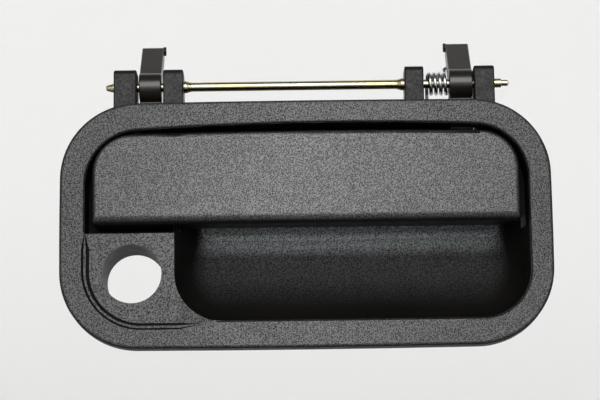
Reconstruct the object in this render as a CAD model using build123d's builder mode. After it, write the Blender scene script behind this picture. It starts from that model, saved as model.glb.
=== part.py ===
from build123d import *
import os
from math import cos, radians, sin, tan

# Outer pull handle of a car door: a flap in a recessed housing that turns on a steel pin above the rim.
# Frame: +X to the right seen from outside the car, +Y into the door, +Z up. The origin is the middle of
# the rim, on the plane where the seal lies on the door skin.

os.makedirs("parts", exist_ok=True)

# ---- Driving dimensions (mm) ----
WALL = 2.2

RIM_WIDTH, RIM_HEIGHT = 156.0, 79.4
RIM_CORNER = 24.5
RIM_BOW = 0.5
RIM_FRONT, RIM_BACK = -7.0, -0.8
RIM_EDGE = 1.0

# opening in the rim: left, right, bottom, top; and its upper and lower corner radii
OPENING = (-70.0, 70.7, -31.0, 32.3)
OPENING_CORNERS = (17.5, 15.5)
OPENING_FALL = (2.8, 1.8)       # how far the bowed upper side falls to its left and right ends
OPENING_EDGE = 0.7
GROOVE_FLOOR = -4.5             # y of the seal groove's floor, behind the rim
SEAL_GAP = 0.15

PAN_FLOOR = 7.5                 # y of the floor behind the flap
PAN_BACK = PAN_FLOOR + WALL
SHELF = -2.5                    # z where the lock panel steps back under the flap
RECESS_BOTTOM = -0.3            # z of the recess's lower side beside the cup

CUP_LEFT, CUP_RIGHT, CUP_TOP = -41.8, OPENING[1] - 0.05, 9.0
CUP_DEPTH = 27.0                # from the rim's front to the cup's floor
CUP_SIDE_SLOPE, CUP_SCOOP = 9.5, 30.0
CUP_CORNER, CUP_CORNER_LOSS = 15.5, 10.5
CUP_LEAN, CUP_LEAN_FROM = 10.0, -1.0  # the floor leans forward this many degrees above this z
CUP_EDGE, CUP_EDGE_START = 1.0, 0.5  # round-over beside the lock panel, and its depth below the rim

LOCK_X, LOCK_Z, LOCK_R = -55.2, -15.4, 9.4
LOCK_BOSS_R, LOCK_BOSS_BACK = 12.0, 16.0
LOCK_BOX_BACK = 4.0
PANEL_END = -28.5               # x where the lock panel comes level with the rim
PANEL_RAMP, PANEL_RUN_IN = -40.0, 5.0  # x from which it rises to there, and the risers' run-in under the flap
PANEL_LEFT, PANEL_BOTTOM, PANEL_CORNER = -70.0, -32.6, 18.0
PANEL_DROP, LEDGE_DROP = 2.2, 1.0
PANEL_RISER, LEDGE_RISER = (-0.4, -1.4), (1.0, 0.3)  # how far outside that outline each starts and ends

# hinge
PIN_Y, PIN_Z, PIN_R = 11.0, 48.8, 1.5
BARREL_R, RUNNING_GAP = 4.8, 0.05
OPEN_ANGLE = 32.0
EARS = {"left outer": (-62.0, -54.6), "left inner": (-45.9, -39.4),
        "right inner": (32.7, 38.9), "right outer": (55.3, 61.9)}
EAR_FRONT, EAR_BACK, EAR_TOP = 5.0, 16.6, 53.7
ARMS = {"left": (-53.9, -46.7), "right": (47.3, 54.9)}
SLOTS, LEG_GAP = ((-54.6, -45.9), (47.0, 55.3)), 0.2
SLOT_BOTTOM, SLOT_TOP = 12.2, 36.5
ARM_FRONT, ARM_BACK = 11.2, 17.0
ARM_LOW, ARM_HIGH = 14.2, 22.4
LEG_TOP = PIN_Z - BARREL_R - 0.4
PIN_LEFT, PIN_RIGHT = -64.8, 66.9
PILOT_R = 1.0
SWAGE_R, SWAGE_LEFT, SWAGE_RIGHT = 2.0, -39.3, 32.6

# flap
FLAP = (-67.8, 68.0, 0.2, 30.0)
FLAP_CORNERS, FLAP_FALL = (12.5, 1.8), (0.85, 0.85)
FLAP_FRONT, FLAP_BACK = -7.0, 3.2
FLAP_LOWER_EDGE, FLAP_EDGE = 2.8, 1.5
FLAP_GAP, TOP_WALL = 0.45, 1.6  # from the sweeping rim to the flap, and the thickness of the flap's top
SWEEP_ARC = OPEN_ANGLE + 18.0   # past the open stop, so that the curve runs out behind the flap's top
CARRIER_GAP = 0.4               # from the carrier's plate to the walls of the cover
COVER_PLATE = 2.4
PLATE_FRONT, PLATE_TOP = 1.0, 22.4
LIP_BACK, LIP_LOW, LIP_HALF = 6.2, 0.7, 65.0
SCREW_TIP = -3.6
SCREW_X, SCREW_Z = (-60.0, -20.0, 20.0, 60.0), 13.0
SCREW_R, SCREW_HEAD_R, SCREW_HEAD, SCREW_BOSS_R = 1.1, 2.3, 1.3, 2.8

# release levers
LEVER_ANGLE = 42.0
LEVER_LENGTH = 20.8
LEVER_FRONT, LEVER_TIP, LEVER_UNDER = 3.8, 2.4, 2.4
NIB, NIB_ROOT = 1.0, 0.2        # width of the nib on each lever's inner side, and what's inside the lever
NIB_LENGTH = 2.6                # from the lever's tip
NIB_BACK, NIB_FRONT = 0.4, 2.2  # the nib's sides, in front of the lever's middle

# gussets over the cup
GUSSET_X, GUSSET = (-24.0, 0.0, 24.0), 1.8

# fixing studs
STUD_X, STUD_Z = 66.0, 17.0
STUD_R, STUD_END = 3.0, 31.0
STUD_COLLAR_R, STUD_HEAD_R = 3.6, 4.4
STUD_BOSS_R, STUD_BOSS_BACK = 5.4, 13.0
STUD_HEAD_FRONT, STUD_HEAD_BACK = 9.2, 11.0

# rubber buffers
BUFFER_X, BUFFER_Z, BUFFER_R = 34.0, 17.0, 3.5
BUFFER_STEM_R, BUFFER_BARB_R, BUFFER_BARB = 1.6, 2.4, 1.8
BUFFER_GAP = 0.15

# return spring
WIRE_R, COIL_R = 0.6, 3.35
BEND_BALL_R = 1.05 * WIRE_R     # a ball that closes the bend between the coil and a leg
COIL_START, COIL_PITCH, COIL_HALVES = 40.3, 1.6, 7
FIXED_LEG, FIXED_LEG_TURN = 17.5, 258.0
MOVING_LEG, MOVING_LEG_TURN, HOOK = 14.0, 228.0, 4.5


def front(y):
    """Plane at depth y, seen from outside: its x is X and its y is Z."""
    return Plane(origin=(0, y, 0), x_dir=(1, 0, 0), z_dir=(0, -1, 0))


def side(x):
    """Plane at x, seen from the right end: its x is Y and its y is Z."""
    return Plane(origin=(x, 0, 0), x_dir=(0, 1, 0), z_dir=(1, 0, 0))


def rounded_outline(bounds, corners, grow=0.0, falls=(0.0, 0.0)):
    """Rectangle with its own corner radii and a bowed upper side, the whole larger all round by grow."""
    left, right, bottom, top = (bound + side * grow for bound, side in zip(bounds, (-1, 1, -1, 1)))
    upper, lower = (max(corner + grow, 0.5) for corner in corners)
    with BuildSketch() as outline:
        with BuildLine():
            Polyline((left, bottom), (right, bottom), (right, top - falls[1]))
            if any(falls):
                ThreePointArc((right, top - falls[1]), (0, top), (left, top - falls[0]))
            else:
                Line((right, top), (left, top))
            Line((left, top - falls[0]), (left, bottom))
        make_face()
        fillet(outline.vertices().sort_by(Axis.Y)[2:], upper)
        fillet(outline.vertices().sort_by(Axis.Y)[:2], lower)
    return outline.sketch


def rim_outline(grow=0.0):
    """The rim's four gently bulged sides."""
    x, z = RIM_WIDTH / 2 - RIM_BOW + grow, RIM_HEIGHT / 2 - RIM_BOW + grow
    with BuildSketch() as outline:
        with BuildLine():
            ThreePointArc((-x, -z), (0, -z - RIM_BOW), (x, -z))
            ThreePointArc((x, -z), (x + RIM_BOW, 0), (x, z))
            ThreePointArc((x, z), (0, z + RIM_BOW), (-x, z))
            ThreePointArc((-x, z), (-x - RIM_BOW, 0), (-x, -z))
        make_face()
        fillet(outline.vertices(), RIM_CORNER + grow)
    return outline.sketch


def opening_outline(grow=0.0):
    return rounded_outline(OPENING, OPENING_CORNERS, grow, OPENING_FALL)


def flap_outline(grow=0.0):
    return rounded_outline(FLAP, FLAP_CORNERS, grow, FLAP_FALL)


def cup_outline(turn, grow=0.0):
    """The cup where its wall has turned through so many degrees from the rim towards the floor."""
    slope = 1 - cos(radians(turn))
    bounds = (CUP_LEFT + CUP_SIDE_SLOPE * slope, CUP_RIGHT - CUP_SIDE_SLOPE * slope,
              OPENING[2] + CUP_SCOOP * slope, CUP_TOP - slope)
    return rounded_outline(bounds, (3.0, CUP_CORNER - CUP_CORNER_LOSS * slope), grow)


pin_axis = Axis((0, PIN_Y, PIN_Z), (1, 0, 0))

# ---- Cup: sections from the rim to the floor, the wall turning through a quarter of an ellipse ----
CUP_TURNS = (0, 18, 36, 54, 70, 82, 90)


def cup_body(grow):
    """The cup's cavity, or with grow the outside of its shell."""
    floor = RIM_FRONT + CUP_DEPTH + grow
    rise = CUP_TOP + grow - CUP_LEAN_FROM
    with BuildPart() as cup:
        for turn in CUP_TURNS:
            with BuildSketch(front(RIM_FRONT + (CUP_DEPTH + grow) * sin(radians(turn)))):
                add(cup_outline(turn, grow))
        loft()
        with BuildSketch(side(-RIM_WIDTH / 2)):
            with BuildLine():
                Polyline((floor, CUP_LEAN_FROM),
                         (floor - rise * tan(radians(CUP_LEAN)), CUP_LEAN_FROM + rise),
                         (floor + WALL, CUP_LEAN_FROM + rise), (floor + WALL, CUP_LEAN_FROM), close=True)
            make_face()
        extrude(amount=RIM_WIDTH, mode=Mode.SUBTRACT)
    return cup.part


cup_shell = cup_body(WALL)
cup_cavity = cup_body(0)


# ---- Hinge ears ----
def hinge_ear(x_range):
    start, end = x_range
    root_z, heel_z = 31.0, 24.5
    with BuildPart() as ear:
        with BuildSketch(side(start)) as profile:
            with BuildLine():
                Polyline((EAR_FRONT, root_z), (EAR_FRONT, EAR_TOP), (EAR_BACK - 1.5, EAR_TOP),
                         (EAR_BACK, EAR_TOP - 6), (EAR_BACK, 40), (PAN_BACK, heel_z),
                         (PAN_FLOOR + 0.5, heel_z), (PAN_FLOOR + 0.5, root_z), close=True)
            make_face()
            fillet(profile.vertices().group_by(Axis.Y)[-1].sort_by(Axis.X)[0], 2.0)
            fillet(profile.vertices().group_by(Axis.Y)[-1].sort_by(Axis.X)[-1], 3.0)
        extrude(amount=end - start)
        for face in (ear.faces().sort_by(Axis.X)[0], ear.faces().sort_by(Axis.X)[-1]):
            fillet(face.outer_wire().edges(), 0.5)
        with BuildSketch(side(start)):
            with Locations((PIN_Y, PIN_Z)):
                Circle(PIN_R)
        extrude(amount=end - start, mode=Mode.SUBTRACT)
    return ear.part


ears = [hinge_ear(x_range) for x_range in EARS.values()]


# ---- Lock panel: a floor below the rim's face, with sloping risers and a narrow ledge round it ----
def panel_outline(grow):
    """The panel's left and lower sides, running in to the opening's own sides at both ends."""
    left, bottom = PANEL_LEFT - grow, PANEL_BOTTOM - grow
    with BuildSketch() as outline:
        with BuildLine():
            Polyline((OPENING[0], SHELF), (left, SHELF - PANEL_RUN_IN), (left, bottom), (PANEL_RAMP, bottom),
                     (PANEL_END, OPENING[2]), (PANEL_END, SHELF), close=True)
        make_face()
        corner = outline.vertices().sort_by_distance((left, bottom))[0]
        fillet(corner, PANEL_CORNER + grow)
    return outline.sketch


def ramped_cut(riser, drop, start):
    """Cutter for a floor below the rim's face that rises to it between PANEL_RAMP and PANEL_END."""
    left = -RIM_WIDTH / 2
    foremost = RIM_FRONT - OPENING_EDGE
    slope = (riser[0] - riser[1]) / (drop - start)
    with BuildPart() as cutter:
        for y in (foremost, RIM_FRONT + drop):
            with BuildSketch(front(y)):
                add(panel_outline(riser[1] + slope * (RIM_FRONT + drop - y)))
        loft()
        with BuildSketch(Plane.XY.offset(-RIM_HEIGHT / 2)):
            with BuildLine():
                Polyline((PANEL_END, RIM_FRONT), (PANEL_RAMP, RIM_FRONT + drop), (left, RIM_FRONT + drop),
                         (left, foremost), (PANEL_END, foremost), close=True)
            make_face()
        extrude(amount=RIM_HEIGHT, mode=Mode.INTERSECT)
    return cutter.part


lock_ledge = ramped_cut(LEDGE_RISER, LEDGE_DROP, 0)
lock_panel = ramped_cut(PANEL_RISER, PANEL_DROP, LEDGE_DROP)

# ---- Round-overs: cutters that flare to the front like a quarter circle ----
FLARE_TURNS = (0, 25, 50, 75)
with BuildPart() as opening_flare:
    for turn in FLARE_TURNS:
        with BuildSketch(front(RIM_FRONT + OPENING_EDGE * (1 - cos(radians(turn))))):
            add(opening_outline(OPENING_EDGE * (1 - sin(radians(turn)))))
    loft()
    with BuildSketch(front(RIM_FRONT)):
        with Locations((PANEL_END, SHELF)):
            Rectangle(RIM_WIDTH, RIM_HEIGHT, align=(Align.MAX, Align.MAX))
    extrude(amount=-2 * OPENING_EDGE, mode=Mode.SUBTRACT)

# beside the lock panel the cup's edge starts lower, and fades out where the panel comes level with the rim
with BuildPart() as cup_flare:
    for turn in (None, *FLARE_TURNS):
        depth = 0 if turn is None else CUP_EDGE_START + CUP_EDGE * (1 - cos(radians(turn)))
        reach = CUP_EDGE * (1 - sin(radians(turn or 0)))
        with BuildSketch(front(RIM_FRONT + depth)):
            add(rounded_outline((CUP_LEFT - reach, OPENING[1] - 1, OPENING[2] + 0.05, CUP_TOP),
                                (3.0, CUP_CORNER)))
    loft()

# ---- Housing ----
with BuildPart() as housing:
    with BuildSketch(front(RIM_FRONT)):
        add(rim_outline())
    extrude(amount=RIM_FRONT - RIM_BACK)
    fillet(housing.faces().sort_by(Axis.Y)[0].outer_wire().edges(), RIM_EDGE)
    with BuildSketch(front(RIM_BACK)):
        add(rim_outline(-WALL))
        add(opening_outline(WALL), mode=Mode.SUBTRACT)
    extrude(amount=RIM_BACK - GROOVE_FLOOR, mode=Mode.SUBTRACT)

    # walls round the flap, and round the space behind the lock panel
    with BuildSketch(front(RIM_FRONT + 1)):
        add(opening_outline(WALL))
        with Locations((0, SHELF - WALL)):
            Rectangle(2 * RIM_WIDTH, RIM_HEIGHT, align=(Align.CENTER, Align.MIN), mode=Mode.INTERSECT)
    extrude(amount=RIM_FRONT + 1 - PAN_BACK)
    with BuildSketch(front(RIM_FRONT + 1)):
        add(opening_outline(WALL))
        with Locations((CUP_LEFT + CUP_CORNER, SHELF)):
            Rectangle(RIM_WIDTH, RIM_HEIGHT, align=(Align.MAX, Align.MAX), mode=Mode.INTERSECT)
    extrude(amount=RIM_FRONT + 1 - LOCK_BOX_BACK)
    add(cup_shell)

    # the flap's recess, the cup and the space behind the lock panel
    with BuildSketch(front(RIM_FRONT)):
        with BuildLine():
            Polyline((-RIM_WIDTH, SHELF), (CUP_LEFT, SHELF), (CUP_LEFT, RECESS_BOTTOM),
                     (RIM_WIDTH, RECESS_BOTTOM), (RIM_WIDTH, RIM_HEIGHT), (-RIM_WIDTH, RIM_HEIGHT),
                     close=True)
        make_face()
        add(opening_outline(), mode=Mode.INTERSECT)
    extrude(amount=RIM_FRONT - PAN_FLOOR, mode=Mode.SUBTRACT)
    with BuildSketch(front(RIM_FRONT + PANEL_DROP + WALL)):
        add(opening_outline())
        with Locations((CUP_LEFT - WALL, SHELF - WALL)):
            Rectangle(RIM_WIDTH, RIM_HEIGHT, align=(Align.MAX, Align.MAX), mode=Mode.INTERSECT)
    extrude(amount=RIM_FRONT + PANEL_DROP + WALL - LOCK_BOX_BACK, mode=Mode.SUBTRACT)
    add(cup_cavity, mode=Mode.SUBTRACT)
    add(opening_flare.part, mode=Mode.SUBTRACT)
    add(lock_ledge, mode=Mode.SUBTRACT)
    add(lock_panel, mode=Mode.SUBTRACT)
    add(cup_flare.part, mode=Mode.SUBTRACT)

    # lock boss and its bore
    with BuildSketch(front(RIM_FRONT + PANEL_DROP)):
        with Locations((LOCK_X, LOCK_Z)):
            Circle(LOCK_BOSS_R)
    extrude(amount=RIM_FRONT + PANEL_DROP - LOCK_BOSS_BACK)
    with BuildSketch(front(RIM_FRONT - 1)):
        with Locations((LOCK_X, LOCK_Z)):
            Circle(LOCK_R)
    extrude(amount=RIM_FRONT - 1 - LOCK_BOSS_BACK, mode=Mode.SUBTRACT)

    # hinge ears, gussets over the cup, and the stud bosses
    for ear in ears:
        add(ear)
    for x in GUSSET_X:
        with BuildSketch(side(x - GUSSET / 2)):
            with BuildLine():
                Polyline((PAN_BACK - 0.5, CUP_TOP + 1), (RIM_FRONT + CUP_DEPTH, CUP_TOP + 1),
                         (PAN_BACK - 0.5, SLOT_TOP - 6), close=True)
            make_face()
        extrude(amount=GUSSET)
    with BuildSketch(front(PAN_BACK - 0.5)):
        with Locations((-STUD_X, STUD_Z), (STUD_X, STUD_Z)):
            Circle(STUD_BOSS_R)
    extrude(amount=PAN_BACK - 0.5 - STUD_BOSS_BACK)

    # slots that the flap's arms swing through
    for start, end in SLOTS:
        with BuildSketch(side(start)):
            with Locations((RIM_BACK, SLOT_BOTTOM)):
                Rectangle(PIN_Y - RIM_BACK, SLOT_TOP - SLOT_BOTTOM, align=(Align.MIN, Align.MIN))
        extrude(amount=end - start, mode=Mode.SUBTRACT)

    # seats for the stud heads and collars, and holes for the buffer stems
    for radius, seat in ((STUD_HEAD_R, STUD_HEAD_BACK), (STUD_COLLAR_R, STUD_BOSS_BACK)):
        with BuildSketch(front(STUD_HEAD_FRONT)):
            with Locations((-STUD_X, STUD_Z), (STUD_X, STUD_Z)):
                Circle(radius)
        extrude(amount=STUD_HEAD_FRONT - seat, mode=Mode.SUBTRACT)
    with BuildSketch(front(PAN_FLOOR)):
        with Locations((-BUFFER_X, BUFFER_Z), (BUFFER_X, BUFFER_Z)):
            Circle(BUFFER_STEM_R)
    extrude(amount=PAN_FLOOR - PAN_BACK, mode=Mode.SUBTRACT)
housing.part.label = "housing"
export_step(housing.part, "parts/housing.step")

# ---- Rim gasket: a rubber ring in the groove, standing out to the door skin ----
with BuildPart() as rim_gasket:
    with BuildSketch(front(GROOVE_FLOOR + SEAL_GAP)):
        add(rim_outline(-WALL - SEAL_GAP))
        add(opening_outline(WALL + SEAL_GAP), mode=Mode.SUBTRACT)
    extrude(amount=GROOVE_FLOOR + SEAL_GAP)
    fillet(rim_gasket.faces().sort_by(Axis.Y)[-1].edges(), 0.4)
rim_gasket.part.label = "rim_gasket"
export_step(rim_gasket.part, "parts/rim_gasket.step")


# ---- Space that the rim sweeps past the flap as the flap opens ----
def rim_sweep(clearance):
    with BuildPart() as swept:
        with BuildSketch(front(RIM_FRONT)):
            add(rim_outline())
            add(opening_outline(-clearance), mode=Mode.SUBTRACT)
            with Locations((0, 8)):
                Rectangle(2 * RIM_WIDTH, RIM_HEIGHT, align=(Align.CENTER, Align.MIN), mode=Mode.INTERSECT)
        revolve(axis=pin_axis, revolution_arc=SWEEP_ARC)
    return swept.part


flap_clearance = rim_sweep(FLAP_GAP)
cover_wall_limit = rim_sweep(FLAP_GAP + TOP_WALL)
carrier_limit = rim_sweep(FLAP_GAP + TOP_WALL + CARRIER_GAP)

with BuildPart() as cover_hollow:
    with BuildSketch(front(FLAP_FRONT + COVER_PLATE)):
        add(flap_outline(-WALL))
    extrude(amount=FLAP_FRONT + COVER_PLATE - FLAP_BACK)
    add(cover_wall_limit, mode=Mode.SUBTRACT)

screw_places = [(x, SCREW_Z) for x in SCREW_X]

# ---- Flap cover: the outer shell that the fingers lift ----
with BuildPart() as flap_cover:
    with BuildSketch(front(FLAP_FRONT)):
        add(flap_outline())
    extrude(amount=FLAP_FRONT - FLAP_BACK)
    fillet(flap_cover.faces().sort_by(Axis.Y)[0].edges(), FLAP_EDGE)
    with BuildSketch(side(-RIM_WIDTH / 2)):
        with Locations((FLAP_FRONT, FLAP[2])):
            Rectangle(2 * FLAP_LOWER_EDGE, 2 * FLAP_LOWER_EDGE)
        with Locations((FLAP_FRONT + FLAP_LOWER_EDGE, FLAP[2] + FLAP_LOWER_EDGE)):
            Circle(FLAP_LOWER_EDGE, mode=Mode.SUBTRACT)
    extrude(amount=RIM_WIDTH, mode=Mode.SUBTRACT)
    add(flap_clearance, mode=Mode.SUBTRACT)
    add(cover_hollow.part, mode=Mode.SUBTRACT)
    with BuildSketch(front(PLATE_FRONT)):
        with Locations(*screw_places):
            Circle(SCREW_BOSS_R)
    extrude(amount=PLATE_FRONT - FLAP_FRONT - COVER_PLATE + 0.5)
    with BuildSketch(front(PLATE_FRONT)):
        with Locations(*screw_places):
            Circle(SCREW_R)
    extrude(amount=PLATE_FRONT - SCREW_TIP, mode=Mode.SUBTRACT)
flap_cover.part.label = "flap_cover"
export_step(flap_cover.part, "parts/flap_cover.step")


# ---- Flap carrier: back plate with the finger lip, two arms with barrels, two release levers ----
def on_lever(along, out):
    """Point in the side view, along the lever from the pin and out towards its front."""
    s, c = sin(radians(LEVER_ANGLE)), cos(radians(LEVER_ANGLE))
    return (PIN_Y + along * s - out * c, PIN_Z + along * c + out * s)


def carrier_arm(x_range, leg_range, nib_x):
    start, end = x_range
    neck_back = ARM_BACK - 1.1
    with BuildPart() as arm:
        with BuildSketch(side(leg_range[0])) as profile:
            with BuildLine():
                Polyline((PLATE_FRONT + 1, ARM_LOW), (PLATE_FRONT + 1, ARM_HIGH), (ARM_FRONT, ARM_HIGH),
                         (ARM_FRONT, LEG_TOP), (neck_back, LEG_TOP), (ARM_BACK, LEG_TOP - 6),
                         (ARM_BACK, ARM_LOW), close=True)
            make_face()
            fillet(profile.vertices().sort_by(Axis.Y)[:2].sort_by(Axis.X)[-1], 6.0)
        extrude(amount=leg_range[1] - leg_range[0])
        for face in (arm.faces().sort_by(Axis.X)[0], arm.faces().sort_by(Axis.X)[-1]):
            fillet(face.outer_wire().edges(), 0.3)
    with BuildPart() as lever:
        with BuildSketch(side(start)) as profile:
            with BuildLine():
                Polyline((ARM_FRONT, LEG_TOP - 1), (ARM_FRONT, PIN_Z - 2),
                         (PIN_Y + BARREL_R - 0.5, PIN_Z - 2), (neck_back, LEG_TOP), (neck_back, LEG_TOP - 1),
                         close=True)
            make_face()
            with BuildLine():
                Polyline(on_lever(0, -LEVER_UNDER), on_lever(LEVER_LENGTH, -LEVER_UNDER),
                         on_lever(LEVER_LENGTH, LEVER_TIP), on_lever(0, LEVER_FRONT), close=True)
            make_face()
            fillet(profile.vertices().group_by(Axis.Y)[-1], 1.2)
            with Locations((PIN_Y, PIN_Z)):
                Circle(BARREL_R)
        extrude(amount=end - start)
        for face in (lever.faces().sort_by(Axis.X)[0], lever.faces().sort_by(Axis.X)[-1]):
            fillet(face.outer_wire().edges(), 0.4)
        add(arm.part)
        with BuildSketch(side(nib_x)):
            with BuildLine():
                Polyline(on_lever(LEVER_LENGTH - NIB_LENGTH, NIB_BACK), on_lever(LEVER_LENGTH, NIB_BACK),
                         on_lever(LEVER_LENGTH, NIB_FRONT), on_lever(LEVER_LENGTH - NIB_LENGTH, NIB_FRONT),
                         close=True)
            make_face()
        extrude(amount=NIB)
        with BuildSketch(side(start)):
            with Locations((PIN_Y, PIN_Z)):
                Circle(PIN_R + RUNNING_GAP)
        extrude(amount=end - start, mode=Mode.SUBTRACT)
    return lever.part


left_leg, right_leg = ((start + LEG_GAP, end - LEG_GAP) for start, end in SLOTS)
arms = [carrier_arm(ARMS["left"], left_leg, ARMS["left"][1] - NIB_ROOT),
        carrier_arm(ARMS["right"], right_leg, ARMS["right"][0] + NIB_ROOT - NIB)]

with BuildPart() as flap_carrier:
    with BuildSketch(front(PLATE_FRONT)):
        add(flap_outline(-WALL - CARRIER_GAP))
        with Locations((0, PLATE_TOP)):
            Rectangle(2 * RIM_WIDTH, RIM_HEIGHT, align=(Align.CENTER, Align.MAX), mode=Mode.INTERSECT)
    extrude(amount=PLATE_FRONT - FLAP_BACK)
    add(carrier_limit, mode=Mode.SUBTRACT)
    with BuildSketch(side(-LIP_HALF)) as lip:
        with BuildLine():
            Polyline((PLATE_FRONT, 3), (FLAP_BACK + 0.2, 3), (FLAP_BACK + 0.2, LIP_LOW), (LIP_BACK, LIP_LOW),
                     (LIP_BACK, 6.0), (FLAP_BACK, 9.0), (PLATE_FRONT, 9.0), close=True)
        make_face()
        fillet(lip.vertices().group_by(Axis.X)[-1], 1.2)
    extrude(amount=2 * LIP_HALF)
    for arm in arms:
        add(arm)
    with BuildSketch(front(PLATE_FRONT)):
        with Locations(*screw_places):
            Circle(SCREW_R + 0.15)
    extrude(amount=PLATE_FRONT - FLAP_BACK, mode=Mode.SUBTRACT)
flap_carrier.part.label = "flap_carrier"
export_step(flap_carrier.part, "parts/flap_carrier.step")

# ---- Cover screws: pan heads on the plate's back, shanks in the cover's bosses ----
with BuildPart() as cover_screws:
    with BuildSketch(front(FLAP_BACK)):
        with Locations(*screw_places):
            Circle(SCREW_HEAD_R)
    extrude(amount=-SCREW_HEAD)
    fillet(cover_screws.faces().group_by(Axis.Y)[-1].edges(), 0.5)
    with BuildSketch(front(FLAP_BACK + SCREW_HEAD)):
        with Locations(*screw_places):
            Rectangle(2.6, 0.6)
            Rectangle(0.6, 2.6)
    extrude(amount=0.7, mode=Mode.SUBTRACT)
    with BuildSketch(front(FLAP_BACK)):
        with Locations(*screw_places):
            Circle(SCREW_R)
    extrude(amount=FLAP_BACK - SCREW_TIP)
cover_screws.part.label = "cover_screws"
export_step(cover_screws.part, "parts/cover_screws.step")

# ---- Hinge pin: a rod with a pilot at each end, swaged beside the inner ears ----
with BuildPart() as hinge_pin:
    with BuildSketch(Plane(origin=(0, PIN_Y, PIN_Z), x_dir=(1, 0, 0), z_dir=(0, -1, 0))):
        with BuildLine():
            Polyline((PIN_LEFT, 0), (PIN_LEFT, 0.75), (PIN_LEFT + 0.5, PILOT_R), (PIN_LEFT + 2.4, PIN_R),
                     (SWAGE_LEFT, PIN_R), (SWAGE_LEFT, SWAGE_R), (SWAGE_LEFT + 0.8, SWAGE_R),
                     (SWAGE_LEFT + 2.4, PIN_R), (SWAGE_RIGHT - 2.4, PIN_R), (SWAGE_RIGHT - 0.8, SWAGE_R),
                     (SWAGE_RIGHT, SWAGE_R), (SWAGE_RIGHT, PIN_R), (PIN_RIGHT - 2.5, PIN_R),
                     (PIN_RIGHT - 2.3, PILOT_R), (PIN_RIGHT - 0.4, PILOT_R), (PIN_RIGHT, 0.6),
                     (PIN_RIGHT, 0), close=True)
        make_face()
    revolve(axis=pin_axis)
hinge_pin.part.label = "hinge_pin"
export_step(hinge_pin.part, "parts/hinge_pin.step")

# ---- Fixing studs: head and collar in the housing, M6 shank out of the back ----
for name, x in (("stud_left", -STUD_X), ("stud_right", STUD_X)):
    with BuildPart() as stud:
        for radius, y_from, y_to in ((STUD_HEAD_R, STUD_HEAD_FRONT, STUD_HEAD_BACK),
                                     (STUD_COLLAR_R, STUD_HEAD_BACK, STUD_BOSS_BACK),
                                     (STUD_R, STUD_BOSS_BACK, STUD_END)):
            with BuildSketch(front(y_from)):
                with Locations((x, STUD_Z)):
                    Circle(radius)
            extrude(amount=y_from - y_to)
        chamfer(stud.faces().sort_by(Axis.Y)[-1].edges(), 0.7)
    stud.part.label = name
    export_step(stud.part, f"parts/{name}.step")

# ---- Buffers: rubber pads pushed into holes in the floor behind the flap ----
for name, x in (("buffer_left", -BUFFER_X), ("buffer_right", BUFFER_X)):
    with BuildPart() as buffer:
        for radius, y_from, y_to in ((BUFFER_R, FLAP_BACK + BUFFER_GAP, PAN_FLOOR),
                                     (BUFFER_STEM_R, PAN_FLOOR, PAN_BACK),
                                     (BUFFER_BARB_R, PAN_BACK, PAN_BACK + BUFFER_BARB)):
            with BuildSketch(front(y_from)):
                with Locations((x, BUFFER_Z)):
                    Circle(radius)
            extrude(amount=y_from - y_to)
        fillet(buffer.faces().sort_by(Axis.Y)[0].edges(), 0.8)
        chamfer(buffer.faces().sort_by(Axis.Y)[-1].edges(), 0.9)
    buffer.part.label = name
    export_step(buffer.part, f"parts/{name}.step")

# ---- Return spring: a torsion coil on the pin, one leg on the housing and one behind the right lever ----
def on_coil(turn):
    """Point in the side view where the coil has turned by so many degrees from its top, over the front."""
    return PIN_Y - COIL_R * sin(radians(turn)), PIN_Z + COIL_R * cos(radians(turn))


def half_turn(half):
    """A half-turn's start, its middle, and the direction in which its wire sets out."""
    turn = FIXED_LEG_TURN + 180 * half
    start = Vector(COIL_START + half * COIL_PITCH / 2, *on_coil(turn))
    middle = Vector(start.X + COIL_PITCH / 4, PIN_Y, PIN_Z)
    return start, middle, Vector(0, -cos(radians(turn)), -sin(radians(turn)))


# the coil is made of tilted half-turns, each setting out the way the one before it ended, and a part of one
last_arc = (MOVING_LEG_TURN - FIXED_LEG_TURN - 180 * COIL_HALVES) % 360
coil_arcs = [180] * COIL_HALVES + [last_arc]
last_start, last_middle, last_ahead = half_turn(COIL_HALVES)
spoke = last_start - last_middle
coil_end = last_middle + spoke * cos(radians(last_arc)) + last_ahead * (spoke.length * sin(radians(last_arc)))
fixed_start, lever_slope = half_turn(0)[0], radians(LEVER_ANGLE)
fixed_slope = radians(270 - FIXED_LEG_TURN)
hook = coil_end + Vector(0, sin(lever_slope), cos(lever_slope)) * MOVING_LEG

with BuildPart() as return_spring:
    for half, arc in enumerate(coil_arcs):
        start, middle, ahead = half_turn(half)
        with BuildSketch(Plane(origin=start, z_dir=ahead)):
            Circle(WIRE_R)
        revolve(axis=Axis(middle, (start - middle).cross(ahead)), revolution_arc=arc)
    with Locations(fixed_start, coil_end):
        Sphere(BEND_BALL_R)
    with BuildSketch(Plane(origin=fixed_start, z_dir=(0, -sin(fixed_slope), -cos(fixed_slope)))):
        Circle(WIRE_R)
    extrude(amount=FIXED_LEG)
    with BuildLine() as moving_leg:
        FilletPolyline(coil_end, hook, hook + Vector(HOOK, 0, 0), radius=1.2)
    with BuildSketch(Plane(origin=moving_leg.line @ 0, z_dir=moving_leg.line % 0)):
        Circle(WIRE_R)
    sweep()
return_spring.part.label = "return_spring"
export_step(return_spring.part, "parts/return_spring.step")
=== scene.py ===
from math import cos, pi, radians, sin, tau

import bmesh
import bpy
from mathutils import Matrix, Vector


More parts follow.
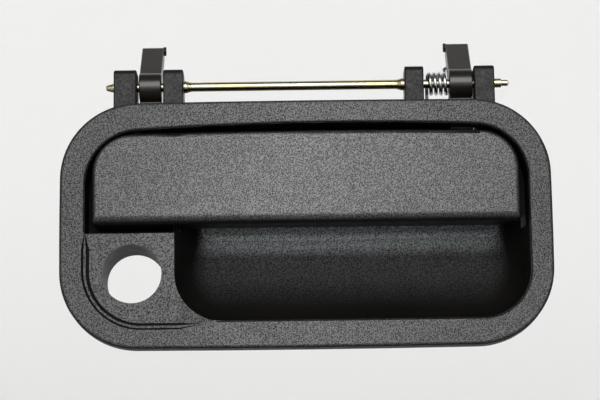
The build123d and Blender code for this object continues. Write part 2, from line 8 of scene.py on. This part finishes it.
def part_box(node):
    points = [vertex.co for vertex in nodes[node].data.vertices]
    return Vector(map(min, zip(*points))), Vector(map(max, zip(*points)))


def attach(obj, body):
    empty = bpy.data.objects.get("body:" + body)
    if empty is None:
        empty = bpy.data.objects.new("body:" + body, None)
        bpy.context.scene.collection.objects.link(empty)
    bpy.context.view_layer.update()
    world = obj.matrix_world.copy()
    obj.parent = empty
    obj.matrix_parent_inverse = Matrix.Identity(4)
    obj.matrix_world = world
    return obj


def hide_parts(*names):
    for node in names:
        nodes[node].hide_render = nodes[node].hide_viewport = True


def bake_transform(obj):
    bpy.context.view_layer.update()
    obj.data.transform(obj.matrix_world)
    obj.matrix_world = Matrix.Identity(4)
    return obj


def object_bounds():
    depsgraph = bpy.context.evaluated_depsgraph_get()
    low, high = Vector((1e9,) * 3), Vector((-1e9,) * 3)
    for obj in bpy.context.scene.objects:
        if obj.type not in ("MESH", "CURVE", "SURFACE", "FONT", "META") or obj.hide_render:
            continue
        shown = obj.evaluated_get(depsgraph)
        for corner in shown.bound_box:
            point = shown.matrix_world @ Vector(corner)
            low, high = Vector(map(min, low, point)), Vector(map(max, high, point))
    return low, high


# The looks of a flap-type car door handle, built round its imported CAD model. Metres, +X to the right seen
# from outside the car, +Y into the door, +Z up.

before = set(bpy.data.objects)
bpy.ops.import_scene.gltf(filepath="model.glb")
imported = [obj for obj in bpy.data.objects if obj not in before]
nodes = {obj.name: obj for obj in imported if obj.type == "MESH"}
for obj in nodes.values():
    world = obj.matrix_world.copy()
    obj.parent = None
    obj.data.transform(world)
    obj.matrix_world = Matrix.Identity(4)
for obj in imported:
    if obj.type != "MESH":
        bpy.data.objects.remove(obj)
cad_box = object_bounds()
MM = 0.001


def node_mid(name):
    low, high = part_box(name)
    return (low + high) / 2


# ---- Camera: in front of the handle and a little below it, looking slightly up ----
CAMERA_DISTANCE = 0.700
CAMERA_BELOW = 10.5             # degrees below the level of the rim's middle
CAMERA_ROLL = 0.75
LENS = 133.1
AIM = Vector((-1.8, -7.0, 7.1)) * MM


def make_camera():
    data = bpy.data.cameras.new("camera")
    data.lens = LENS
    data.clip_start, data.clip_end = 0.01, 20
    camera = bpy.data.objects.new("camera", data)
    bpy.context.scene.collection.objects.link(camera)
    rim_front = Vector((0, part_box("housing")[0].y, 0))
    tilt = radians(CAMERA_BELOW)
    camera.location = rim_front - CAMERA_DISTANCE * Vector((0, cos(tilt), sin(tilt)))
    turn = (AIM - camera.location).to_track_quat("-Z", "Y").to_matrix().to_4x4()
    turn = turn @ Matrix.Rotation(-radians(CAMERA_ROLL), 4, "Z")
    camera.rotation_euler = turn.to_euler()
    bpy.context.scene.camera = camera


make_camera()


# ---- Short ways to make nodes, meshes and objects ----
def node(tree, kind, inputs=None, **settings):
    """A shader node. Its inputs are values, or other nodes' sockets to link from."""
    made = tree.nodes.new("ShaderNode" + kind)
    for key, value in settings.items():
        setattr(made, key, value)
    for key, value in (inputs or {}).items():
        if isinstance(value, bpy.types.NodeSocket):
            tree.links.new(value, made.inputs[key])
        else:
            made.inputs[key].default_value = value
    return made


def new_material(name):
    material = bpy.data.materials.new(name)
    material.use_nodes = True
    tree = material.node_tree
    return material, tree, tree.nodes["Principled BSDF"]


def place(tree):
    """A point's place in the piece's own frame, and its normal there."""
    made = node(tree, "TexCoord")
    return made.outputs["Object"], made.outputs["Normal"]


def stretched(tree, vector, scale):
    return node(tree, "Mapping", {"Vector": vector, "Scale": scale}).outputs["Vector"]


def noise(tree, vector, scale, detail=2.0, roughness=0.5):
    inputs = {"Vector": vector, "Scale": scale, "Detail": detail, "Roughness": roughness}
    return node(tree, "TexNoise", inputs).outputs["Fac"]


def cells(tree, vector, scale):
    return node(tree, "TexVoronoi", {"Vector": vector, "Scale": scale}).outputs["Distance"]


def remap(tree, value, low, high, to_low=0.0, to_high=1.0, smooth=False):
    inputs = {"Value": value, "From Min": low, "From Max": high, "To Min": to_low, "To Max": to_high}
    kind = "SMOOTHSTEP" if smooth else "LINEAR"
    return node(tree, "MapRange", inputs, interpolation_type=kind).outputs["Result"]


def maths(tree, operation, a, b=0.0):
    return node(tree, "Math", {0: a, 1: b}, operation=operation).outputs[0]


def blended(tree, share, a, b):
    """Number between a and b."""
    return node(tree, "Mix", {"Factor": share, "A": a, "B": b}, data_type="FLOAT").outputs["Result"]


def tinted(tree, share, a, b):
    """Colour between a and b."""
    made = node(tree, "Mix", data_type="RGBA")
    for index, value in ((0, share), (6, a), (7, b)):
        if isinstance(value, bpy.types.NodeSocket):
            tree.links.new(value, made.inputs[index])
        else:
            made.inputs[index].default_value = value
    return made.outputs[2]


def bump(tree, height, distance, strength=1.0, under=None):
    inputs = {"Height": height, "Distance": distance, "Strength": strength}
    if under is not None:
        inputs["Normal"] = under
    return node(tree, "Bump", inputs).outputs["Normal"]


def grey(value, warm=0.0):
    return (value * (1 + warm), value, value * (1 - warm), 1)


def new_piece(name, mesh, material, body, smooth=True):
    piece = bpy.data.objects.new(name, mesh)
    bpy.context.scene.collection.objects.link(piece)
    mesh.materials.append(material)
    mesh.polygons.foreach_set("use_smooth", [smooth] * len(mesh.polygons))
    if body:
        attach(piece, body)
    return piece


# ---- Materials ----
FACE_DEPTH = -4.0 * MM          # y behind which only the cup is grained
CUP_LEFT, CUP_TOP = -42.5 * MM, 4.0 * MM
EARS_BOTTOM = 39.8 * MM
HALF_WIDTH = 78.0 * MM
SHADE_FROM, SHADE_TO = 30.0 * MM, 40.0 * MM  # z between which the carrier comes out of the recess

# painted reflection: a band of the cup's back wall whose shine is raised, in z and from a depth, and the
# bluish tint of that painted reflection
REFLECTION_BAND_FROM, REFLECTION_BAND_TO, REFLECTION_BAND_DEPTH = -7.5 * MM, -1.5 * MM, 12.0 * MM
REFLECTION_BAND_TINT = (0.92, 1.0, 1.03, 1)

# how strongly the grain glints in the middle and at the ends (a painted highlight), and in the cup, and what
# the painted reflection band adds
GLINT_MIDDLE, GLINT_ENDS, GLINT_IN_CUP, GLINT_REFLECTION_BAND = 1.12, 0.78, 0.5, 2.4

# how strongly the smooth skin shines below the ears, as a share of the ears' shine, and deep in the recess,
# where it is lowered as painted shade
SKIN_BELOW_EARS, SKIN_IN_RECESS = 0.45, 0.08


def grained_area(tree, axes, normal):
    """How far a point is on a grained face, and how far it is below the ears, each from 0 to 1."""
    below_ears = remap(tree, axes["Z"], EARS_BOTTOM + 0.2 * MM, EARS_BOTTOM - 0.2 * MM)
    in_cup = maths(tree, "MULTIPLY", remap(tree, axes["X"], CUP_LEFT, CUP_LEFT + 0.5 * MM),
                   remap(tree, axes["Z"], CUP_TOP, CUP_TOP - 1.0 * MM))
    in_front = remap(tree, axes["Y"], FACE_DEPTH + 0.5 * MM, FACE_DEPTH)
    where = maths(tree, "MULTIPLY", maths(tree, "MAXIMUM", in_cup, in_front), below_ears)
    facing = node(tree, "SeparateXYZ", {0: normal}).outputs["Y"]
    outward = remap(tree, facing, -0.60, -0.95, smooth=True)
    return maths(tree, "MULTIPLY", outward, where), below_ears


def painted_reflection_area(tree, axes):
    """How far a point is on the band of the cup's back wall that gets a painted reflection."""
    high = remap(tree, axes["Z"], REFLECTION_BAND_FROM, REFLECTION_BAND_TO, smooth=True)
    deep = remap(tree, axes["Y"], REFLECTION_BAND_DEPTH, REFLECTION_BAND_DEPTH + 4.0 * MM, smooth=True)
    return maths(tree, "MULTIPLY", high, deep)


def grain_glints(tree, axes, speckle, painted_reflection, sparkle):
    """Shine of the grain's tops: a painted highlight strongest in the middle and weaker towards the ends,
    less in the cup, and a painted reflection on the cup's back wall.
    """
    # painted highlight: the glints are strongest in the middle and fade towards the ends, standing in for the
    # front light's hotspot
    from_middle = maths(tree, "ABSOLUTE", axes["X"])
    middle, ends = GLINT_MIDDLE * sparkle, GLINT_ENDS * sparkle
    along = remap(tree, from_middle, 0.0, HALF_WIDTH, middle, ends, smooth=True)
    inner = remap(tree, axes["Y"], FACE_DEPTH, 0.0, 1.0, GLINT_IN_CUP)
    # painted reflection: the band on the cup's back wall gets extra shine
    band_and_depth = maths(tree, "ADD", maths(tree, "MULTIPLY", painted_reflection, GLINT_REFLECTION_BAND), inner)
    gain = maths(tree, "MULTIPLY", along, band_and_depth)
    return maths(tree, "MULTIPLY", maths(tree, "POWER", speckle, 1.25), gain)


def skin_shine(tree, at, axes, below_ears):
    """Shine of the smooth faces: patchy, weaker below the ears, and weakest deep in the recess as painted
    shade.
    """
    patchy = remap(tree, noise(tree, at, 1900, 3.0, 0.6), 0.3, 0.7, 0.12, 0.5)
    share = blended(tree, below_ears, 1.0, SKIN_BELOW_EARS)
    # painted shade: the shine drops deep in the recess
    recessed = maths(tree, "MULTIPLY", remap(tree, axes["Y"], FACE_DEPTH, 3.0 * MM), below_ears)
    return blended(tree, recessed, maths(tree, "MULTIPLY", patchy, share), SKIN_IN_RECESS)


def grained_plastic(name, scale, depth, rough, sparkle):
    """Black plastic with a moulded grain on what faces out of the door, and smooth elsewhere."""
    material, tree, shader = new_material(name)
    at, normal = place(tree)
    axes = node(tree, "SeparateXYZ", {0: at}).outputs
    grained, below_ears = grained_area(tree, axes, normal)
    # painted reflection: where the cup's back wall gets a raised, bluish shine
    painted_reflection = painted_reflection_area(tree, axes)
    height = blended(tree, 0.4, noise(tree, at, scale, 3.0, 0.7), cells(tree, at, scale * 0.8))
    speckle = remap(tree, height, 0.33, 0.58)
    mottle = noise(tree, at, 45, 3.0)
    handled = noise(tree, stretched(tree, at, (1, 1, 0.3)), 130, 4.0, 0.6)

    plain = tinted(tree, mottle, grey(0.006, 0.04), grey(0.012, 0.08))
    salted = tinted(tree, speckle, grey(0.006), grey(0.030))
    dusted = tinted(tree, remap(tree, handled, 0.5, 0.8, 0, 0.3), salted, grey(0.045))
    tree.links.new(tinted(tree, grained, plain, dusted), shader.inputs["Base Color"])

    worn = blended(tree, mottle, rough - 0.04, rough + 0.05)
    marks = remap(tree, noise(tree, at, 300, 4.0), 0.3, 0.7, 0.42, 0.52)
    tree.links.new(blended(tree, grained, marks, worn), shader.inputs["Roughness"])

    skin = skin_shine(tree, at, axes, below_ears)
    glints = grain_glints(tree, axes, speckle, painted_reflection, sparkle)
    tree.links.new(blended(tree, grained, skin, glints), shader.inputs["Specular IOR Level"])
    # painted reflection: the shine of the cup's back wall band is tinted bluish
    tree.links.new(tinted(tree, painted_reflection, grey(1.0), REFLECTION_BAND_TINT), shader.inputs["Specular Tint"])

    soft = bump(tree, noise(tree, at, 700, 3.0), 0.03 * MM, 0.5)
    raised = maths(tree, "MULTIPLY", height, grained)
    tree.links.new(bump(tree, raised, depth, 1.0, soft), shader.inputs["Normal"])
    return material


def smooth_plastic():
    """Smooth black moulding of the carrier, with faint flow marks, and painted shade that makes it darker and
    duller inside the recess.
    """
    material, tree, shader = new_material("smooth_moulding")
    at, _ = place(tree)
    flow = noise(tree, stretched(tree, at, (3, 1, 0.6)), 160, 4.0, 0.6)
    cloud = noise(tree, at, 60, 3.0)
    height = node(tree, "SeparateXYZ", {0: at}).outputs["Z"]
    flowing = tinted(tree, flow, grey(0.009, 0.18), grey(0.017, 0.24))
    # painted shade: below where the carrier comes out of the recess its colour is near black and its shine
    # low
    in_light = remap(tree, height, SHADE_FROM, SHADE_TO)
    tree.links.new(tinted(tree, in_light, grey(0.004), flowing), shader.inputs["Base Color"])
    shine = remap(tree, height, SHADE_FROM, SHADE_TO, 0.10, 0.70)
    tree.links.new(shine, shader.inputs["Specular IOR Level"])
    tree.links.new(remap(tree, cloud, 0.3, 0.7, 0.26, 0.36), shader.inputs["Roughness"])
    tree.links.new(bump(tree, noise(tree, at, 900, 4.0), 0.02 * MM, 0.5), shader.inputs["Normal"])
    return material


def rubber(name, dark):
    material, tree, shader = new_material(name)
    at, _ = place(tree)
    cloud = noise(tree, at, 220, 4.0, 0.6)
    tree.links.new(tinted(tree, cloud, grey(dark), grey(dark * 1.9)), shader.inputs["Base Color"])
    tree.links.new(remap(tree, cloud, 0.3, 0.7, 0.72, 0.88), shader.inputs["Roughness"])
    shader.inputs["Specular IOR Level"].default_value = 0.35
    tree.links.new(bump(tree, noise(tree, at, 2600, 3.0), 0.04 * MM, 0.7), shader.inputs["Normal"])
    return material


def yellow_zinc():
    """Yellow chromate on zinc: gold with pinkish patches, a painted brown reflection on the faces turned up
    and a painted dark reflection on the faces turned down.
    """
    material, tree, shader = new_material("yellow_zinc")
    at, normal = place(tree)
    patches = noise(tree, stretched(tree, at, (0.35, 1, 1)), 260, 4.0, 0.6)
    tint = tinted(tree, remap(tree, patches, 0.35, 0.6), (0.74, 0.66, 0.40, 1), (0.78, 0.74, 0.50, 1))
    tint = tinted(tree, remap(tree, patches, 0.58, 0.72), tint, (0.80, 0.60, 0.42, 1))
    under = node(tree, "SeparateXYZ", {0: normal}).outputs["Z"]
    # painted reflection: faces turned down are painted dark, as if mirroring the dark rim
    tint = tinted(tree, remap(tree, under, -0.35, -0.75, smooth=True), tint, (0.10, 0.09, 0.04, 1))
    # painted reflection: faces turned up are painted brown
    tint = tinted(tree, remap(tree, under, 0.75, 0.95, smooth=True), tint, (0.30, 0.19, 0.08, 1))
    tree.links.new(tint, shader.inputs["Base Color"])
    shader.inputs["Metallic"].default_value = 1.0
    lines = noise(tree, stretched(tree, at, (0.03, 1, 1)), 5000, 2.0)
    tree.links.new(remap(tree, lines, 0.3, 0.7, 0.2, 0.34), shader.inputs["Roughness"])
    tree.links.new(bump(tree, lines, 0.01 * MM, 0.5), shader.inputs["Normal"])
    return material


def bright_zinc(name, rough):
    material, tree, shader = new_material(name)
    at, _ = place(tree)
    spangle = cells(tree, at, 900)
    cloud = noise(tree, at, 700, 4.0)
    tint = tinted(tree, cloud, (0.60, 0.63, 0.65, 1), (0.80, 0.82, 0.82, 1))
    tree.links.new(tint, shader.inputs["Base Color"])
    shader.inputs["Metallic"].default_value = 1.0
    tree.links.new(remap(tree, spangle, 0.0, 0.8, rough, rough + 0.15), shader.inputs["Roughness"])
    tree.links.new(bump(tree, cloud, 0.01 * MM, 0.6), shader.inputs["Normal"])
    return material


def black_screw():
    material, tree, shader = new_material("black_oxide")
    at, _ = place(tree)
    cloud = noise(tree, at, 900, 4.0)
    tint = tinted(tree, cloud, (0.05, 0.05, 0.055, 1), (0.14, 0.14, 0.14, 1))
    tree.links.new(tint, shader.inputs["Base Color"])
    shader.inputs["Metallic"].default_value = 1.0
    tree.links.new(remap(tree, cloud, 0.3, 0.7, 0.35, 0.55), shader.inputs["Roughness"])
    return material


# left and right pieces share a material, named here without their side
materials = {
    "housing": grained_plastic("grained_housing", scale=2600, depth=0.05 * MM, rough=0.46, sparkle=1.12),
    "flap_cover": grained_plastic("grained_cover", scale=3000, depth=0.04 * MM, rough=0.42, sparkle=1.30),
    "flap_carrier": smooth_plastic(),
    "hinge_pin": yellow_zinc(),
    "return_spring": bright_zinc("spring_zinc", rough=0.16),
    "cover_screws": black_screw(),
    "rim_gasket": rubber("seal_rubber", dark=0.016),
    "buffer": rubber("buffer_rubber", dark=0.022),
    "stud": bright_zinc("stud_zinc", rough=0.24),
}
for name, cad in nodes.items():
    cad.data.materials.clear()
    cad.data.materials.append(materials[name.removesuffix("_left").removesuffix("_right")])


# ---- Return spring: wire coiled on the pin, one leg on the housing, one hooked behind the right lever ----
WIRE_R, COIL_R, COIL_PITCH, COIL_TURNS = 0.6 * MM, 3.35 * MM, 1.6 * MM, 4
COIL_START = 40.3 * MM
FIXED_LEG, FIXED_TURN = 17.5 * MM, 258.0
MOVING_LEG, MOVING_TURN, HOOK, HOOK_BEND = 14.0 * MM, 228.0, 4.5 * MM, 1.2 * MM
LEVER_ANGLE = 42.0
WIRE_SIDES, TURN_STEPS, BEND_STEPS = 20, 56, 8
FIXED_STEPS, MOVING_STEPS = 12, 10

# how far past the wire's end, and how large it is there, both in radii
ROUNDED_END = ((0.0, 1.0), (0.35, 0.93), (0.7, 0.7), (0.9, 0.3))


def arc_between(corner, before, after, radius, steps):
    """Points of a round bend at a corner between two directions that meet there at a right angle."""
    centre = corner + radius * (after - before)
    points = []
    for step in range(steps + 1):
        turn = pi / 2 * step / steps
        points.append(centre - radius * after * cos(turn) + radius * before * sin(turn))
    return points


def spring_line():
    pin = node_mid("hinge_pin")

    def around(turn, x):
        return Vector((x, pin.y - COIL_R * sin(radians(turn)), pin.z + COIL_R * cos(radians(turn))))

    turned = 360 * COIL_TURNS - FIXED_TURN + MOVING_TURN
    steps = round(TURN_STEPS * turned / 360)
    coil = [around(FIXED_TURN + turned * s / steps, COIL_START + COIL_PITCH * turned * s / steps / 360)
            for s in range(steps + 1)]
    down = radians(270 - FIXED_TURN)
    fixed_end = coil[0] - FIXED_LEG * Vector((0, sin(down), cos(down)))
    up = Vector((0, sin(radians(LEVER_ANGLE)), cos(radians(LEVER_ANGLE))))
    across = Vector((1, 0, 0))
    corner = coil[-1] + MOVING_LEG * up
    straight = [fixed_end.lerp(coil[0], s / FIXED_STEPS) for s in range(FIXED_STEPS)]
    rising = [coil[-1].lerp(corner - HOOK_BEND * up, s / MOVING_STEPS) for s in range(1, MOVING_STEPS)]
    bend = arc_between(corner, up, across, HOOK_BEND, BEND_STEPS)
    return straight + coil + rising + bend + [corner + HOOK * across]


def tube(name, line, radius, sides):
    """Round wire along a line of points, its section carried along without twisting, its ends rounded."""
    shape = bmesh.new()
    ahead = (line[1] - line[0]).normalized()
    up = ahead.orthogonal().normalized()
    turns = [tau * s / sides for s in range(sides)]
    rings = []
    for at, point in enumerate(line):
        before, after = line[max(at - 1, 0)], line[min(at + 1, len(line) - 1)]
        direction = (after - before).normalized()
        up = (up - direction * up.dot(direction)).normalized()
        out = direction.cross(up)
        scales = ROUNDED_END[:1]
        if at == 0:
            scales = [(-along, size) for along, size in reversed(ROUNDED_END)]
        elif at == len(line) - 1:
            scales = ROUNDED_END
        for along, size in scales:
            middle = point + direction * radius * along
            rings.append([shape.verts.new(middle + radius * size * (up * cos(turn) + out * sin(turn)))
                          for turn in turns])
    for a, b in zip(rings, rings[1:]):
        for s in range(sides):
            shape.faces.new((a[s], a[(s + 1) % sides], b[(s + 1) % sides], b[s]))
    shape.faces.new(rings[0])
    shape.faces.new(reversed(rings[-1]))
    bmesh.ops.recalc_face_normals(shape, faces=shape.faces)
    mesh = bpy.data.meshes.new(name)
    shape.to_mesh(mesh)
    shape.free()
    return mesh


def make_spring():
    line = spring_line()
    wire = tube("spring_wire", line, WIRE_R, WIRE_SIDES)
    spring = new_piece("spring_wire", wire, materials["return_spring"], None)
    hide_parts("return_spring")
    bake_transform(spring)


make_spring()


# ---- Fixing studs: the CAD stud with its thread ----
HEAD_BACK, COLLAR_BACK = 1.8 * MM, 3.8 * MM  # behind the head's front
HEAD_EDGE, END_CHAMFER = 0.25 * MM, 0.7 * MM
FACE_STEP, COLLAR_STEP, THREAD_STEP = 1.6 * MM, 0.8 * MM, 1.4 * MM  # how much smaller than the head's radius
THREAD_PITCH, THREAD_DEPTH, THREAD_RUNOUT = 1.0 * MM, 0.62 * MM, 1.2 * MM
END_GAP = 0.02 * MM             # from the thread's last ring to the CAD stud's end
STUD_SIDES, RINGS_PER_TURN = 48, 10


def stud_mesh(name):
    """Head, collar and M6 thread, along +Y."""
    low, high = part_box(name)
    middle = (low + high) / 2
    head_r = (high.x - low.x) / 2
    collar_r, thread_r = head_r - COLLAR_STEP, head_r - THREAD_STEP
    head_end, collar_end = low.y + HEAD_BACK, low.y + COLLAR_BACK
    profile = [(low.y, head_r - FACE_STEP), (low.y, head_r - HEAD_EDGE), (low.y + HEAD_EDGE, head_r),
               (head_end, head_r), (head_end, collar_r), (collar_end, collar_r), (collar_end, thread_r)]
    length = high.y - collar_end - END_GAP
    count = round(length / THREAD_PITCH * RINGS_PER_TURN)
    shape = bmesh.new()
    rings = [[(y, radius)] * STUD_SIDES for y, radius in profile]
    for ring in range(1, count + 1):
        y = collar_end + length * ring / count
        start = min(1.0, (y - collar_end) / THREAD_RUNOUT)
        chamfer = max(0.0, END_CHAMFER - (high.y - y))
        row = []
        for side in range(STUD_SIDES):
            phase = ((y - collar_end) / THREAD_PITCH - side / STUD_SIDES) % 1.0
            groove = min(1.0, 1.35 - 2.7 * abs(phase - 0.5))  # 0 on the crest, and 1 over the flat root
            row.append((y, thread_r - max(THREAD_DEPTH * start * groove, chamfer)))
        rings.append(row)
    circles = []
    for row in rings:
        circles.append([shape.verts.new((middle.x + radius * cos(tau * side / STUD_SIDES), y,
                                         middle.z + radius * sin(tau * side / STUD_SIDES)))
                        for side, (y, radius) in enumerate(row)])
    for a, b in zip(circles, circles[1:]):
        for side in range(STUD_SIDES):
            following = (side + 1) % STUD_SIDES
            shape.faces.new((a[side], a[following], b[following], b[side]))
    shape.faces.new(circles[0])
    shape.faces.new(circles[-1])
    bmesh.ops.recalc_face_normals(shape, faces=shape.faces)
    mesh = bpy.data.meshes.new(name + "_threaded")
    shape.to_mesh(mesh)
    shape.free()
    return mesh


for name in ("stud_left", "stud_right"):
    stud = new_piece(name + "_threaded", stud_mesh(name), materials["stud"], "housing_body", smooth=False)
    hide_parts(name)


# ---- Stage: a pale floor that rises into a backdrop far behind ----
FLOOR_DROP, WALL_BACK, STAGE_HALF, STAGE_TOP, COVE = 0.21, 1.6, 4.0, 4.0, 0.6
COVE_STEPS = 12


def make_stage():
    floor_z = cad_box[0].z - FLOOR_DROP
    line = [(-STAGE_HALF, floor_z)]
    for step in range(COVE_STEPS + 1):
        turn = pi / 2 * step / COVE_STEPS
        line.append((WALL_BACK - COVE + COVE * sin(turn), floor_z + COVE - COVE * cos(turn)))
    line.append((WALL_BACK, STAGE_TOP))
    points = [(x, y, z) for y, z in line for x in (-STAGE_HALF, STAGE_HALF)]
    faces = [(2 * at, 2 * at + 1, 2 * at + 3, 2 * at + 2) for at in range(len(line) - 1)]
    mesh = bpy.data.meshes.new("pale_stage")
    mesh.from_pydata(points, [], faces)
    material, tree, shader = new_material("pale_paper")
    at, _ = place(tree)
    tree.links.new(tinted(tree, noise(tree, at, 3, 2.0), grey(0.84), grey(0.86)), shader.inputs["Base Color"])
    shader.inputs["Roughness"].default_value = 0.9
    new_piece("pale_stage", mesh, material, None)


make_stage()


# ---- Light: one broad soft light from the front, a weak one from behind, and a dim warm room ----
def soft_sun(name, azimuth, elevation, spread, strength, colour):
    """Soft light from a direction seen from the handle: azimuth 0 is the front, 90 the right."""
    data = bpy.data.lights.new(name, "SUN")
    data.energy, data.angle, data.color = strength, radians(spread), colour
    light = bpy.data.objects.new(name, data)
    bpy.context.scene.collection.objects.link(light)
    a, e = radians(azimuth), radians(elevation)
    source = Vector((sin(a) * cos(e), -cos(a) * cos(e), sin(e)))
    light.rotation_euler = source.to_track_quat("Z", "Y").to_euler()


soft_sun("front_light", azimuth=1, elevation=8, spread=56, strength=2.75, colour=(1.0, 1.0, 1.0))
soft_sun("back_light", azimuth=160, elevation=50, spread=60, strength=0.18, colour=(1.0, 0.98, 0.95))


def make_room(overhead, level):
    """Dim overhead, brighter towards the horizon."""
    world = bpy.data.worlds.new("room")
    bpy.context.scene.world = world
    world.use_nodes = True
    tree = world.node_tree
    height = node(tree, "SeparateXYZ", {0: node(tree, "TexCoord").outputs["Generated"]}).outputs["Z"]
    strength = remap(tree, height, 0.6, 0.15, overhead, level, smooth=True)
    background = tree.nodes["Background"]
    background.inputs["Color"].default_value = (1.0, 0.97, 0.92, 1)
    tree.links.new(strength, background.inputs["Strength"])


make_room(overhead=0.07, level=0.26)
bpy.context.scene.view_settings.view_transform = "Standard"
